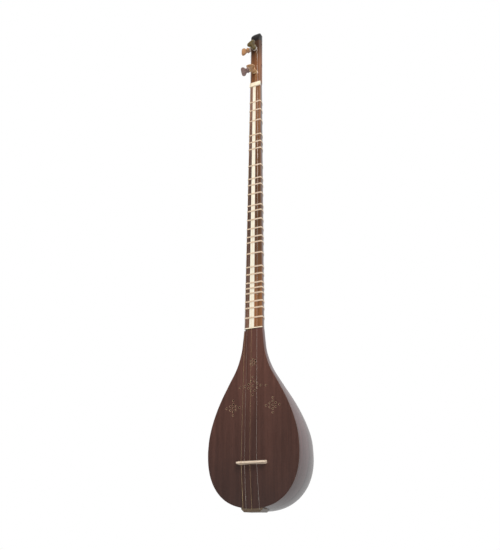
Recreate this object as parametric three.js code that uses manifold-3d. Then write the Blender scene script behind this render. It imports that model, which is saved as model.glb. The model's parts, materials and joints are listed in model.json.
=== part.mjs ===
// A setar: a long-necked lute with a pear-shaped bowl of glued ribs, four wire strings and tied gut frets.
//
// Millimetres, +Z up along the neck, +X to the right of someone who faces the soundboard, +Y to the back.
// The pieces are drawn from the point where the strings cross the bridge, on the face of the soundboard.
// The finished group is then shifted, so that its origin is the middle of the tailpiece's flat foot.
import * as THREE from "three";
import { mergeVertices } from "three/addons/utils/BufferGeometryUtils.js";
import Module from "manifold-3d";

const wasm = await Module();
wasm.setup();

// Driving dimensions: the open string from the nut to the bridge, and the places along it
const stringLength = 660;
const bareNeckLength = 18;
const faceBelowBridge = 62.5;
const footBelowBridge = 67.5;

// The bowl: half its greatest width, its depth behind the soundboard, and where each is reached
const bowlHalfWidth = 74.2;
const bowlDepth = 148;
const widestAboveBridge = 18.5;
const deepestAboveBridge = 12;
const bottomBulge = 6;
const ribThickness = 3;
const ribCount = 9;
const ribColumns = 2;
const glueGap = 0.25;
const soundboardThickness = 3;

// The neck, which tapers from the nut down to the bowl, and its tenon in the neck block
const neckHalfWidthAtNut = 10.4;
const neckHalfWidthAtBowl = 15.4;
const neckDepthAtNut = 19;
const neckDepthAtBowl = 23;
const fingerboardThickness = 1.5;
const boneLeftReachAtNut = 4.2;
const boneLeftReachAtBowl = 7.1;
const boneRightReach = 1.3;
const inlaySeam = 0.1;
const jointInlayLength = 1.6;
const tenonWidth = 10;
const tenonDepth = 9;
const tenonLength = 24;
const tenonInset = 4.5;
const neckBlockLength = 36;
const slipFit = 0.3;

// The nut, which is a wedge that falls away towards the head
const nutLength = 9.5;
const nutHeight = 1.8;
const nutCrownLength = 1.6;
const nutHeelHeight = 0.4;

// The head, its dark cap and the holes for the pegs
const headHalfWidth = 10.4;
const headDepth = 19;
const headChamfer = 3;
const capLength = 23;
const headPastTopPeg = 33;
const capFrontRise = 4.5;
const capCrestBehind = 10;
const capBackFall = 5;
const capSideFall = 14;
const sidePegInset = 7.5;

// The tuning pegs: a tapered shaft, a turned bead and a flat thumb leaf
const pegRadiusAtLeaf = 4.2;
const pegRadiusAtTip = 3.1;
const pegHoleClearance = 0.3;
const pegReach = 10;
const pegTipStandsProud = 1;
const beadRadius = 5.2;
const beadLength = 2.6;
const leafLength = 12;
const leafHalfWidth = 8.3;
const leafWaistHalfWidth = 3.8;
const leafThickness = 5;
const leafBevel = 1;
const wireHoleRadius = 0.6;

// The tied gut frets and the turns of wire on the pegs
const gutRadius = 0.3;
const gutClearance = 0.3;
const gutPitch = 1.1;
const gutTurns = 3;
const wireTurns = 5;
const wireClearance = 0.25;
const wireTurnGap = 0.46;
const windingStandOff = 2.2;
const wireLeadLength = 2.2;
const wireLeadGap = 0.3;

// The strings' rests: heights and how far the wire floats clear of what it crosses
const bridgeHeight = 8;
const bridgeHalfLength = 23.8;
const bridgeFootThickness = 5.4;
const bridgeTopThickness = 2.2;
const bridgeArchHeight = 1.4;
const bridgeFootLength = 9;
const bridgeEndRise = 2.5;
const wireRest = 0.1;

// The tailpiece under the bowl, the block inside it, and the holes that the strings are hooked into
const tailHalfWidth = 17;
const tailFootHalfWidth = 12.5;
const tailChamferRise = 4;
const tailDepth = 24;
const tailHoleRadius = 0.6;
const tailHoleDepth = 8;
const tailHoleAboveFoot = 3;
const tailWireGap = 0.25;
const tailBlockHalfWidth = 26;
const tailBlockDepth = 46;
const tailBlockHeight = 20;

// Soundholes: little flowers of drilled holes, each a ring around one hole and most with four more
// outside it, and two single holes, all placed by how far down the soundboard they lie from the neck
const soundholeRadius = 1.15;
const topFlowerDown = 54;
const topFlowerRing = 4.4;
const middleFlowerDown = 90.5;
const middleFlowerRing = 7.8;
const middleFlowerReach = 13.5;
const lowFlowerDown = 121.5;
const lowFlowerAcross = 33;
const lowFlowerRing = 5.6;
const lowFlowerReach = 11;
const singleHoleDown = 91.5;
const singleHoleAcross = 22;
const lowFlower = { down: lowFlowerDown, ringRadius: lowFlowerRing, petals: 6, reach: lowFlowerReach };
const flowers = [
  { across: 0, down: topFlowerDown, ringRadius: topFlowerRing, petals: 6 },
  { across: 0, down: middleFlowerDown, ringRadius: middleFlowerRing, petals: 8, reach: middleFlowerReach },
  { across: lowFlowerAcross, ...lowFlower },
  { across: -lowFlowerAcross, ...lowFlower },
];
const singleHoles = [
  { across: singleHoleAcross, down: singleHoleDown },
  { across: -singleHoleAcross, down: singleHoleDown },
];

// The strings: wires, how far each stands from the middle, and the spacing of the bass side's pair
const plainWireRadius = 0.1;
const bassWireRadius = 0.18;
const nutTrebleAcross = 6.6;
const nutBassAcross = 7.4;
const nutPairSpacing = 2.4;
const bridgeTrebleAcross = 10.8;
const bridgeBassAcross = 13.8;
const bridgePairSpacing = 5.2;
const tailTrebleAcross = 12;
const tailBassAcross = 13.8;
const tailPairSpacing = 4.8;

// Where the pegs stand on the head, measured from the nut
const upperFrontPegUp = 84;
const lowerFrontPegUp = 32;
const lowerFrontPegAcross = 0.5;
const upperSidePegUp = 94;
const lowerSidePegUp = 48;

// The strings, first to fourth. Two pegs stand out of the face, and two out of the left side.
const courses = [
  {
    wireRadius: plainWireRadius,
    peg: { side: "front", up: upperFrontPegUp, across: 0, leafTurn: 30 },
    rests: { nut: nutTrebleAcross, bridge: bridgeTrebleAcross, tail: tailTrebleAcross },
    metal: "steel",
  },
  {
    wireRadius: plainWireRadius,
    peg: { side: "front", up: lowerFrontPegUp, across: -lowerFrontPegAcross, leafTurn: -10 },
    rests: { nut: 0, bridge: 0, tail: 0 },
    metal: "brass",
  },
  {
    wireRadius: plainWireRadius,
    peg: { side: "left", up: upperSidePegUp, leafTurn: 0 },
    rests: {
      nut: nutPairSpacing - nutBassAcross,
      bridge: bridgePairSpacing - bridgeBassAcross,
      tail: tailPairSpacing - tailBassAcross,
    },
    metal: "steel",
  },
  {
    wireRadius: bassWireRadius,
    peg: { side: "left", up: lowerSidePegUp, leafTurn: -32 },
    rests: { nut: -nutBassAcross, bridge: -bridgeBassAcross, tail: -tailBassAcross },
    metal: "brass",
  },
];

// The frets' pitches above the open string, in cents: a Persian scale with its neutral intervals
const fretCents = [
  90, 140, 204, 294, 340, 385, 498, 590, 636, 702, 792, 835, 906,
  980, 1050, 1100, 1200, 1330, 1404, 1494, 1551, 1608, 1702, 1780, 1902,
];
const octaveCents = 1200;

// Outline of the bowl. Below its widest place it is a superellipse. Above, it follows these shares of the
// way up to the neck, and of the width and depth that the bowl has left over the neck's own.
const lowerOutlinePower = 2.35;
const lowerDepthPower = 2.4;
const upShares = [0, 0.09, 0.16, 0.28, 0.4, 0.53, 0.66, 0.79, 0.9, 1];
const widthShares = [1, 0.978, 0.936, 0.82, 0.657, 0.434, 0.208, 0.078, 0.03, 0];
const depthUpShares = [0, 0.18, 0.38, 0.58, 0.78, 1];
const depthShares = [1, 0.95, 0.7, 0.325, 0.06, 0];

// Counts of the facets that round shapes are drawn with, and how finely points are welded
const weldDistance = 0.0001;
const shoulderStations = 14;
const bottomStations = 9;
const ribEndShare = 0.965;
const poleShare = 0.99;
const nudgeShare = 0.001;
const backSteps = 16;
const capSteps = 6;
const gutBackSteps = 8;
const gutSides = 4;
const wireStepsPerTurn = 8;
const wireSides = 4;
const stringSides = 8;
const pegSides = 16;
const holeSides = 8;

// Places worked out from the sizes above
const nutAt = stringLength;
const bowlTop = fretHeight(fretCents.at(-1)) - bareNeckLength;
const headStart = nutAt + nutLength;
const headTop = nutAt + upperSidePegUp + headPastTopPeg;
const capStart = headTop - capLength;
const cutOverrun = 2 * ribThickness;
const longestReach = Math.max(headDepth, 2 * headHalfWidth) + pegTipStandsProud;

// A fret that raises the open string by so many cents leaves this much of it to sound.
function fretHeight(cents) {
  return stringLength * Math.pow(2, -cents / octaveCents);
}

const instrument = new THREE.Group();
instrument.position.set(0, -tailDepth / 2, footBelowBridge);

const finishes = {
  soundboard: { color: 0x4a2a22, roughness: 0.38, metalness: 0 },
  rib: { color: 0x4d2f28, roughness: 0.25, metalness: 0 },
  neck: { color: 0x4a2c22, roughness: 0.25, metalness: 0 },
  head: { color: 0x8a5230, roughness: 0.35, metalness: 0 },
  ebony: { color: 0x1c1514, roughness: 0.3, metalness: 0 },
  bone: { color: 0xece0c4, roughness: 0.35, metalness: 0 },
  rosewood: { color: 0x6b4029, roughness: 0.35, metalness: 0 },
  peg: { color: 0xa0693c, roughness: 0.4, metalness: 0 },
  block: { color: 0xb08a5c, roughness: 0.7, metalness: 0 },
  tailpiece: { color: 0x7a6650, roughness: 0.45, metalness: 0 },
  gut: { color: 0xd8c8a0, roughness: 0.45, metalness: 0 },
  steel: { color: 0xc9c9c9, roughness: 0.25, metalness: 1 },
  brass: { color: 0xc99b4a, roughness: 0.28, metalness: 1 },
};

function addPiece(name, geometry, finish, parent = instrument) {
  const mesh = new THREE.Mesh(geometry, new THREE.MeshStandardMaterial(finishes[finish]));
  mesh.name = name;
  parent.add(mesh);
  return mesh;
}

// Closed meshes from rings of points

function signedVolume(positions, indices) {
  const [a, b, c] = [0, 1, 2].map(() => new THREE.Vector3());
  let volume = 0;
  for (let i = 0; i < indices.length; i += 3) {
    a.fromArray(positions, 3 * indices[i]);
    b.fromArray(positions, 3 * indices[i + 1]);
    c.fromArray(positions, 3 * indices[i + 2]);
    volume += a.dot(b.cross(c)) / 6;
  }
  return volume;
}

// Joins rings of equally many points into a closed skin, facing out. Each end is closed by rungs that
// join the ring's first point to its last, its second to its last but one, and so on.
function loft(rings) {
  const count = rings[0].length;
  const positions = rings.flat().flatMap((point) => point.toArray());
  const indices = [];
  for (let k = 0; k + 1 < rings.length; k++) {
    for (let i = 0; i < count; i++) {
      const here = k * count + i;
      const next = k * count + ((i + 1) % count);
      indices.push(here, next, next + count, here, next + count, here + count);
    }
  }
  const last = (rings.length - 1) * count;
  for (let i = 0; 2 * i + 2 < count; i++) {
    const j = count - 1 - i;
    indices.push(i, j, i + 1, last + i, last + i + 1, last + j);
    if (j - 1 > i + 1) indices.push(i + 1, j, j - 1, last + i + 1, last + j - 1, last + j);
  }
  if (signedVolume(positions, indices) < 0) indices.reverse();
  const geometry = new THREE.BufferGeometry();
  geometry.setAttribute("position", new THREE.Float32BufferAttribute(positions, 3));
  geometry.setIndex(indices);
  return geometry;
}

// A round tube through the points, whose rings stand square to the path, turned about one direction.
function tube(points, radius, sides, upright) {
  const rings = points.map((point, k) => {
    const before = points[Math.max(k - 1, 0)];
    const after = points[Math.min(k + 1, points.length - 1)];
    const along = after.clone().sub(before).normalize();
    const across = upright.clone().cross(along).normalize();
    const over = along.clone().cross(across);
    return Array.from({ length: sides }, (_, i) => {
      const turn = (2 * Math.PI * (i + 0.5)) / sides;
      return point
        .clone()
        .addScaledVector(across, radius * Math.cos(turn))
        .addScaledVector(over, radius * Math.sin(turn));
    });
  });
  return loft(rings);
}

// The least free space between turns of a wound tube, measured on its points.
function leastTurnGap(points, radius, pointsPerTurn) {
  let least = Infinity;
  points.forEach((a, i) =>
    points.slice(i + Math.ceil(pointsPerTurn / 2)).forEach((b) => {
      least = Math.min(least, a.distanceTo(b));
    }),
  );
  return least - 2 * radius;
}

// Joins and cuts

function solidOf(geometry) {
  const bare = geometry.clone();
  bare.deleteAttribute("normal");
  bare.deleteAttribute("uv");
  const merged = mergeVertices(bare, weldDistance);
  return new wasm.Manifold(
    new wasm.Mesh({
      numProp: 3,
      vertProperties: merged.getAttribute("position").array,
      triVerts: new Uint32Array(merged.index.array),
    }),
  );
}

function geometryOf(solid) {
  const mesh = solid.getMesh();
  const geometry = new THREE.BufferGeometry();
  geometry.setAttribute("position", new THREE.BufferAttribute(mesh.vertProperties, 3));
  geometry.setIndex(new THREE.BufferAttribute(mesh.triVerts, 1));
  return geometry;
}

function boxBetween(low, high) {
  const size = high.clone().sub(low);
  const middle = low.clone().add(high).multiplyScalar(1 / 2);
  return new THREE.BoxGeometry(size.x, size.y, size.z).translate(middle.x, middle.y, middle.z);
}

// Shape of the bowl

const widthCurve = new THREE.CubicInterpolant(upShares, widthShares, 1);
const depthCurve = new THREE.CubicInterpolant(depthUpShares, depthShares, 1);

function halfWidthAt(z) {
  if (z > widestAboveBridge) {
    const up = Math.min((z - widestAboveBridge) / (bowlTop - widestAboveBridge), 1);
    const share = widthCurve.evaluate(up)[0];
    return neckHalfWidthAtBowl + (bowlHalfWidth - neckHalfWidthAtBowl) * share;
  }
  const down = (widestAboveBridge - z) / (widestAboveBridge + faceBelowBridge);
  return bowlHalfWidth * Math.pow(Math.max(1 - Math.pow(down, lowerOutlinePower), 0), 1 / lowerOutlinePower);
}

const bowlDepthAtNeck = neckDepthAtBowl - soundboardThickness;

function depthAt(z) {
  if (z > deepestAboveBridge) {
    const up = Math.min((z - deepestAboveBridge) / (bowlTop - deepestAboveBridge), 1);
    return bowlDepthAtNeck + (bowlDepth - bowlDepthAtNeck) * depthCurve.evaluate(up)[0];
  }
  const down = (deepestAboveBridge - z) / (deepestAboveBridge + faceBelowBridge);
  return bowlDepth * Math.pow(Math.max(1 - Math.pow(down, lowerDepthPower), 0), 1 / lowerDepthPower);
}

// Stations run from 0 at the neck to 1 at the widest place, and on to 2 at the lowest point.
function stationHeight(station) {
  if (station <= 1) return bowlTop + (widestAboveBridge - bowlTop) * station;
  const angle = ((station - 1) * Math.PI) / 2;
  const down = Math.pow(Math.sin(angle), 2 / lowerOutlinePower);
  return widestAboveBridge - (widestAboveBridge + faceBelowBridge) * down;
}

// A point of the bowl's outer skin. Each section is half an ellipse behind the soundboard, and the
// bottom bulges down a little behind the soundboard's lower edge.
function skinPoint(station, angle) {
  const z = stationHeight(station);
  const behind = depthAt(z) * Math.sin(angle);
  const down = Math.max((deepestAboveBridge - z) / (deepestAboveBridge + faceBelowBridge), 0);
  const bulge = bottomBulge * Math.sin((Math.PI * behind) / bowlDepth) * down * down;
  return new THREE.Vector3(halfWidthAt(z) * Math.cos(angle), soundboardThickness + behind, z - bulge);
}

// The same point moved square to the skin: inwards for the inside of the wall, or a little out.
function bowlPoint(station, angle, inset) {
  const round = skinPoint(station, angle + nudgeShare).sub(skinPoint(station, angle - nudgeShare));
  const along = skinPoint(station + nudgeShare, angle).sub(skinPoint(station - nudgeShare, angle));
  const outward = along.cross(round).normalize();
  return skinPoint(station, angle).addScaledVector(outward, -inset);
}

// The stations that sections are drawn at, from the neck to where the ribs end.
const ribStations = [
  ...Array.from({ length: shoulderStations }, (_, i) => i / shoulderStations),
  ...Array.from({ length: bottomStations + 1 }, (_, i) => 1 + (ribEndShare * i) / bottomStations),
];

// The ribs' seams meet the widest section at even distances round it.
function evenSeams() {
  const fine = 40 * ribCount;
  const points = Array.from({ length: fine + 1 }, (_, i) => skinPoint(1, (Math.PI * i) / fine));
  const run = [0];
  for (let i = 1; i <= fine; i++) run.push(run[i - 1] + points[i].distanceTo(points[i - 1]));
  return Array.from({ length: ribCount + 1 }, (_, rib) => {
    const wanted = (run[fine] * rib) / ribCount;
    const i = Math.min(run.findIndex((length) => length >= wanted), fine);
    const back = i === 0 ? 0 : (run[i] - wanted) / (run[i] - run[i - 1]);
    return (Math.PI * (i - back)) / fine;
  });
}

const seams = evenSeams();

function ribAngle(rib, column) {
  return seams[rib] + ((seams[rib + 1] - seams[rib]) * column) / ribColumns;
}

// One point of a rib's section. Its edges are held back from the seam by half of the glue line.
function ribPoint(station, rib, column, inset) {
  const angle = ribAngle(rib, column);
  const point = bowlPoint(station, angle, inset);
  const side = column === 0 ? 1 : column === ribColumns ? -1 : 0;
  const ahead = bowlPoint(station, angle + nudgeShare, inset);
  const behind = bowlPoint(station, angle - nudgeShare, inset);
  return point.addScaledVector(ahead.sub(behind).normalize(), (side * glueGap) / 2);
}

function ribGeometry(rib) {
  const columns = Array.from({ length: ribColumns + 1 }, (_, column) => column);
  return loft(
    ribStations.map((station) => {
      const outside = columns.map((column) => ribPoint(station, rib, column, 0));
      const inside = columns.map((column) => ribPoint(station, rib, column, ribThickness));
      return [...outside, ...inside.reverse()];
    }),
  );
}

// A whole section of the bowl, moved in or out of the skin, and carried forward past the soundboard.
function sectionRing(station, inset, forward) {
  const columns = Array.from({ length: ribCount * ribColumns }, (_, i) => i);
  const angles = columns.map((i) => ribAngle(Math.floor(i / ribColumns), i % ribColumns));
  const ring = [...angles, Math.PI].map((angle) => bowlPoint(station, angle, inset));
  if (!forward) return ring;
  const toFront = new THREE.Vector3(0, -soundboardThickness - forward, 0);
  return [ring[0].clone().add(toFront), ...ring, ring.at(-1).clone().add(toFront)];
}

function bowlSolid(inset, forward) {
  const stations = [...ribStations, 1 + poleShare];
  return solidOf(loft(stations.map((station) => sectionRing(station, inset, forward))));
}

for (let rib = 0; rib < ribCount; rib++) {
  addPiece(`bowl_rib_${rib + 1}`, ribGeometry(rib), "rib");
}

// The soundboard, with its drilled holes

function drilledHole({ across, down }) {
  const hole = new THREE.Path();
  hole.absarc(across, bowlTop - down, soundholeRadius, 0, 2 * Math.PI);
  return hole;
}

// Holes at even distances round a middle, the first one a share of a step round from the side.
function holeRing({ across, down }, radius, count, startShare) {
  return Array.from({ length: count }, (_, i) => {
    const turn = (2 * Math.PI * (i + startShare)) / count;
    return drilledHole({ across: across + radius * Math.cos(turn), down: down + radius * Math.sin(turn) });
  });
}

function flowerHoles(flower) {
  const petals = holeRing(flower, flower.ringRadius, flower.petals, 1 / 2);
  const tips = flower.reach ? holeRing(flower, flower.reach, 4, 0) : [];
  return [drilledHole(flower), ...petals, ...tips];
}

// Lays a drawing made in X and Y against the face: its Y becomes Z, and its thickness runs to the back.
function layBehind(geometry, front, thickness) {
  return geometry.rotateX(Math.PI / 2).translate(0, front + thickness, 0);
}

function soundboardGeometry() {
  const rightSide = [...ribStations, 2].map((station) => {
    const z = stationHeight(station);
    return new THREE.Vector2(halfWidthAt(z), z);
  });
  const leftSide = rightSide
    .slice(0, -1)
    .reverse()
    .map((point) => new THREE.Vector2(-point.x, point.y));
  const outline = new THREE.Shape([...rightSide, ...leftSide]);
  outline.holes = [...flowers.flatMap(flowerHoles), ...singleHoles.map(drilledHole)];
  const board = new THREE.ExtrudeGeometry(outline, {
    depth: soundboardThickness,
    bevelEnabled: false,
    curveSegments: holeSides / 2,
  });
  return layBehind(board, 0, soundboardThickness);
}

addPiece("soundboard", soundboardGeometry(), "soundboard");

// The neck, its fingerboard strips and the bone line where it meets the soundboard

function taper(z, atNut, atBowl) {
  return atBowl + ((atNut - atBowl) * (z - bowlTop)) / (nutAt - bowlTop);
}

function neckShape(z) {
  return {
    half: taper(z, neckHalfWidthAtNut, neckHalfWidthAtBowl),
    depth: taper(z, neckDepthAtNut, neckDepthAtBowl),
    boneLeft: -taper(z, boneLeftReachAtNut, boneLeftReachAtBowl),
  };
}

// The rounded back of a neck section: half an ellipse from one side to the other, behind a front line.
function backCurve(half, depth, front, z, steps) {
  return Array.from({ length: steps + 1 }, (_, i) => {
    const turn = (Math.PI * i) / steps;
    return new THREE.Vector3(half * Math.cos(turn), front + (depth - front) * Math.sin(turn), z);
  });
}

const neckStart = bowlTop + glueGap;
const tenonFront = soundboardThickness + tenonInset;

function tenonBox(clearance) {
  const side = tenonWidth / 2 + clearance;
  const back = tenonFront + tenonDepth + clearance;
  return boxBetween(
    new THREE.Vector3(-side, tenonFront - clearance, bowlTop - tenonLength - clearance),
    new THREE.Vector3(side, back, neckStart + cutOverrun),
  );
}

function neckGeometry() {
  const rings = [neckStart, headStart].map((z) => {
    const { half, depth } = neckShape(z);
    return backCurve(half, depth, fingerboardThickness, z, backSteps);
  });
  return geometryOf(solidOf(loft(rings)).add(solidOf(tenonBox(0))));
}

addPiece("neck", neckGeometry(), "neck");

// A flat strip let into the front of the neck, drawn by where its two edges run.
function stripGeometry(start, end, edgesAt) {
  return loft(
    [start, end].map((z) => {
      const { left, right, leftChamfer, rightChamfer } = edgesAt(neckShape(z));
      return [
        new THREE.Vector3(left, fingerboardThickness, z),
        new THREE.Vector3(left + leftChamfer, 0, z),
        new THREE.Vector3(right - rightChamfer, 0, z),
        new THREE.Vector3(right, fingerboardThickness, z),
      ];
    }),
  );
}

const stripStart = neckStart + jointInlayLength + inlaySeam;
const sideChamfer = fingerboardThickness;

addPiece(
  "joint_inlay",
  stripGeometry(neckStart, neckStart + jointInlayLength, ({ half }) => ({
    left: -half,
    right: half,
    leftChamfer: sideChamfer,
    rightChamfer: sideChamfer,
  })),
  "bone",
);

addPiece(
  "fingerboard_bone_strip",
  stripGeometry(stripStart, nutAt, ({ boneLeft }) => ({
    left: boneLeft,
    right: boneRightReach,
    leftChamfer: 0,
    rightChamfer: 0,
  })),
  "bone",
);

addPiece(
  "fingerboard_left_strip",
  stripGeometry(stripStart, nutAt, ({ half, boneLeft }) => ({
    left: -half,
    right: boneLeft - inlaySeam,
    leftChamfer: sideChamfer,
    rightChamfer: 0,
  })),
  "rosewood",
);

addPiece(
  "fingerboard_right_strip",
  stripGeometry(stripStart, nutAt, ({ half }) => ({
    left: boneRightReach + inlaySeam,
    right: half,
    leftChamfer: 0,
    rightChamfer: sideChamfer,
  })),
  "rosewood",
);

// The nut: a wedge with a narrow crown for the strings, on the neck's own wood

function nutRing(across) {
  return [
    new THREE.Vector3(across, fingerboardThickness, nutAt),
    new THREE.Vector3(across, -nutHeight, nutAt),
    new THREE.Vector3(across, -nutHeight, nutAt + nutCrownLength),
    new THREE.Vector3(across, -nutHeelHeight, headStart),
    new THREE.Vector3(across, fingerboardThickness, headStart),
  ];
}

addPiece("nut", loft([nutRing(-neckHalfWidthAtNut), nutRing(neckHalfWidthAtNut)]), "bone");

// The wooden blocks inside the bowl, which hold the neck's tenon and the strings' pull

const insideBowl = bowlSolid(ribThickness + glueGap, 0);

const neckBlockRoom = boxBetween(
  new THREE.Vector3(-bowlHalfWidth, soundboardThickness + glueGap, bowlTop - neckBlockLength),
  new THREE.Vector3(bowlHalfWidth, bowlDepth, bowlTop),
);
addPiece(
  "neck_block",
  geometryOf(insideBowl.intersect(solidOf(neckBlockRoom)).subtract(solidOf(tenonBox(slipFit)))),
  "block",
);

const tailBlockRoom = boxBetween(
  new THREE.Vector3(-tailBlockHalfWidth, soundboardThickness + glueGap, -footBelowBridge),
  new THREE.Vector3(tailBlockHalfWidth, tailBlockDepth, -faceBelowBridge + tailBlockHeight),
);
addPiece("tail_block", geometryOf(insideBowl.intersect(solidOf(tailBlockRoom))), "block");

// The head, with a tapered hole for each peg, and its cap

function headRing(z) {
  const corner = headHalfWidth - headChamfer;
  const back = backCurve(headHalfWidth, headDepth, headChamfer, z, backSteps);
  return [new THREE.Vector3(corner, 0, z), ...back, new THREE.Vector3(-corner, 0, z)];
}

// Where a peg's group stands on the head, and which way it points: its own +Z is the peg's outward way.
function pegGroup({ peg }) {
  const group = new THREE.Group();
  if (peg.side === "front") {
    group.position.set(peg.across, 0, nutAt + peg.up);
    group.rotation.x = Math.PI / 2;
  } else {
    group.position.set(-headHalfWidth, sidePegInset, nutAt + peg.up);
    group.rotation.y = -Math.PI / 2;
  }
  group.updateMatrix();
  return group;
}

function shaftRadiusAt(along) {
  const share = (along + longestReach) / (pegReach + longestReach);
  return pegRadiusAtTip + (pegRadiusAtLeaf - pegRadiusAtTip) * share;
}

// How far a peg's shaft runs into the head: through it, and a little past the far side.
function shaftReach({ peg }) {
  return (peg.side === "front" ? headDepth : 2 * headHalfWidth) + pegTipStandsProud;
}

function pegHole(group) {
  const [inner, outer] = [-longestReach - cutOverrun, cutOverrun];
  const hole = new THREE.CylinderGeometry(
    shaftRadiusAt(outer) + pegHoleClearance,
    shaftRadiusAt(inner) + pegHoleClearance,
    outer - inner,
    pegSides,
  );
  hole.rotateX(Math.PI / 2).translate(0, 0, (inner + outer) / 2);
  return solidOf(hole.applyMatrix4(group.matrix));
}

const pegGroups = courses.map(pegGroup);
pegGroups.forEach((group) => instrument.add(group));

const headBlank = solidOf(loft([headRing(headStart), headRing(capStart)]));
addPiece(
  "head",
  geometryOf(pegGroups.reduce((head, group) => head.subtract(pegHole(group)), headBlank)),
  "head",
);

// The cap's outline from the side: a short upright front, a crest behind it and a rounded back.
function capSideOutline() {
  const outline = new THREE.Shape();
  outline.moveTo(0, capStart);
  outline.lineTo(0, capStart + capFrontRise);
  outline.quadraticCurveTo(capCrestBehind / 2, headTop, capCrestBehind, headTop);
  outline.quadraticCurveTo(headDepth, headTop, headDepth, headTop - capBackFall);
  outline.lineTo(headDepth, capStart);
  return outline;
}

// The cap's outline from the front: upright sides under half of an ellipse.
function capFrontOutline() {
  const outline = new THREE.Shape();
  outline.moveTo(-headHalfWidth, capStart);
  outline.lineTo(headHalfWidth, capStart);
  outline.absellipse(0, headTop - capSideFall, headHalfWidth, capSideFall, 0, Math.PI);
  return outline;
}

function headCapGeometry() {
  const settings = { bevelEnabled: false, curveSegments: capSteps };
  const side = new THREE.ExtrudeGeometry(capSideOutline(), { depth: 2 * headHalfWidth, ...settings });
  side.rotateX(Math.PI / 2).rotateZ(Math.PI / 2).translate(-headHalfWidth, 0, 0);
  const front = new THREE.ExtrudeGeometry(capFrontOutline(), { depth: headDepth, ...settings });
  const blank = solidOf(loft([headRing(capStart), headRing(headTop)]));
  return geometryOf(blank.intersect(solidOf(side)).intersect(solidOf(layBehind(front, 0, headDepth))));
}

addPiece("head_cap", headCapGeometry(), "ebony");

// The tuning pegs

function leafGeometry() {
  const base = pegReach - beadLength / 2;
  const top = pegReach + leafLength;
  const widest = pegReach + leafLength / 2;
  const crown = leafHalfWidth / 2;
  const outline = new THREE.Shape();
  outline.moveTo(-leafWaistHalfWidth, base);
  outline.quadraticCurveTo(-leafWaistHalfWidth, pegReach + leafLength / 4, -leafHalfWidth, widest);
  outline.quadraticCurveTo(-leafHalfWidth, top, -crown, top);
  outline.lineTo(crown, top);
  outline.quadraticCurveTo(leafHalfWidth, top, leafHalfWidth, widest);
  outline.quadraticCurveTo(leafWaistHalfWidth, pegReach + leafLength / 4, leafWaistHalfWidth, base);
  const leaf = new THREE.ExtrudeGeometry(outline, {
    depth: leafThickness - 2 * leafBevel,
    bevelThickness: leafBevel,
    bevelSize: leafBevel,
    bevelOffset: -leafBevel,
    bevelSegments: 1,
    curveSegments: 4,
  });
  return leaf.translate(0, 0, leafBevel - leafThickness / 2).rotateX(Math.PI / 2);
}

function shaftGeometry(reach) {
  const beadStart = pegReach - beadLength;
  const profile = [
    [0, -reach],
    [shaftRadiusAt(-reach), -reach],
    [shaftRadiusAt(beadStart), beadStart],
    [beadRadius, beadStart + beadLength / 3],
    [beadRadius, pegReach - beadLength / 3],
    [shaftRadiusAt(pegReach), pegReach],
    [0, pegReach],
  ];
  const shaft = new THREE.LatheGeometry(
    profile.map(([radius, along]) => new THREE.Vector2(radius, along)),
    pegSides,
  );
  return shaft.rotateX(Math.PI / 2);
}

// The wire's first turn leaves the peg on the line that just touches it from the nut.
function wireRun({ wireRadius, rests }, group) {
  const woundRadius = shaftRadiusAt(pegReach) + wireClearance + wireRadius;
  const onNut = new THREE.Vector3(rests.nut, -nutHeight - wireRest - wireRadius, nutAt + nutCrownLength);
  const target = onNut.clone().applyMatrix4(group.matrix.clone().invert());
  const leave = Math.atan2(target.y, target.x) + Math.acos(woundRadius / Math.hypot(target.x, target.y));
  const pointAt = (turns) =>
    new THREE.Vector3(
      woundRadius * Math.cos(leave + 2 * Math.PI * turns),
      woundRadius * Math.sin(leave + 2 * Math.PI * turns),
      windingStandOff + turns * (2 * wireRadius + wireTurnGap),
    );
  const exit = pointAt(0);
  const towardsNut = target.clone().sub(exit).normalize();
  const steps = wireTurns * wireStepsPerTurn;
  const turns = Array.from({ length: steps + 1 }, (_, i) => pointAt(i / wireStepsPerTurn));
  const end = turns[steps];
  const intoPeg = new THREE.Vector3(end.x / 2, end.y / 2, end.z);
  return {
    onNut,
    hole: end,
    turns: [exit.clone().addScaledVector(towardsNut, wireLeadLength), ...turns, intoPeg],
    stringStart: exit
      .clone()
      .addScaledVector(towardsNut, wireLeadLength + wireLeadGap)
      .applyMatrix4(group.matrix),
  };
}

function pegGeometry(course, hole) {
  const bore = new THREE.CylinderGeometry(wireHoleRadius, wireHoleRadius, 4 * beadRadius, holeSides);
  bore.rotateZ(-Math.PI / 2).rotateZ(Math.atan2(hole.y, hole.x)).translate(0, 0, hole.z);
  const leaf = leafGeometry().rotateZ(THREE.MathUtils.degToRad(course.peg.leafTurn));
  const blank = solidOf(shaftGeometry(shaftReach(course))).add(solidOf(leaf));
  return geometryOf(blank.subtract(solidOf(bore)));
}

// The strings, each one wire from its peg over the nut and the bridge to the tailpiece

const tailHoleAt = tailHoleAboveFoot - footBelowBridge;

function stringPoints({ wireRadius, rests }, { onNut, stringStart }) {
  const overNut = new THREE.Vector3(rests.nut, onNut.y, nutAt);
  const overBridge = new THREE.Vector3(rests.bridge, -bridgeHeight - wireRest - wireRadius, 0);
  const beforeTail = -tailWireGap - wireRadius;
  return [
    stringStart,
    onNut,
    overNut,
    overBridge,
    new THREE.Vector3(rests.tail, beforeTail, -faceBelowBridge),
    new THREE.Vector3(rests.tail, beforeTail, tailHoleAt),
    new THREE.Vector3(rests.tail, tailHoleDepth - tailHoleRadius, tailHoleAt),
  ];
}

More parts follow.
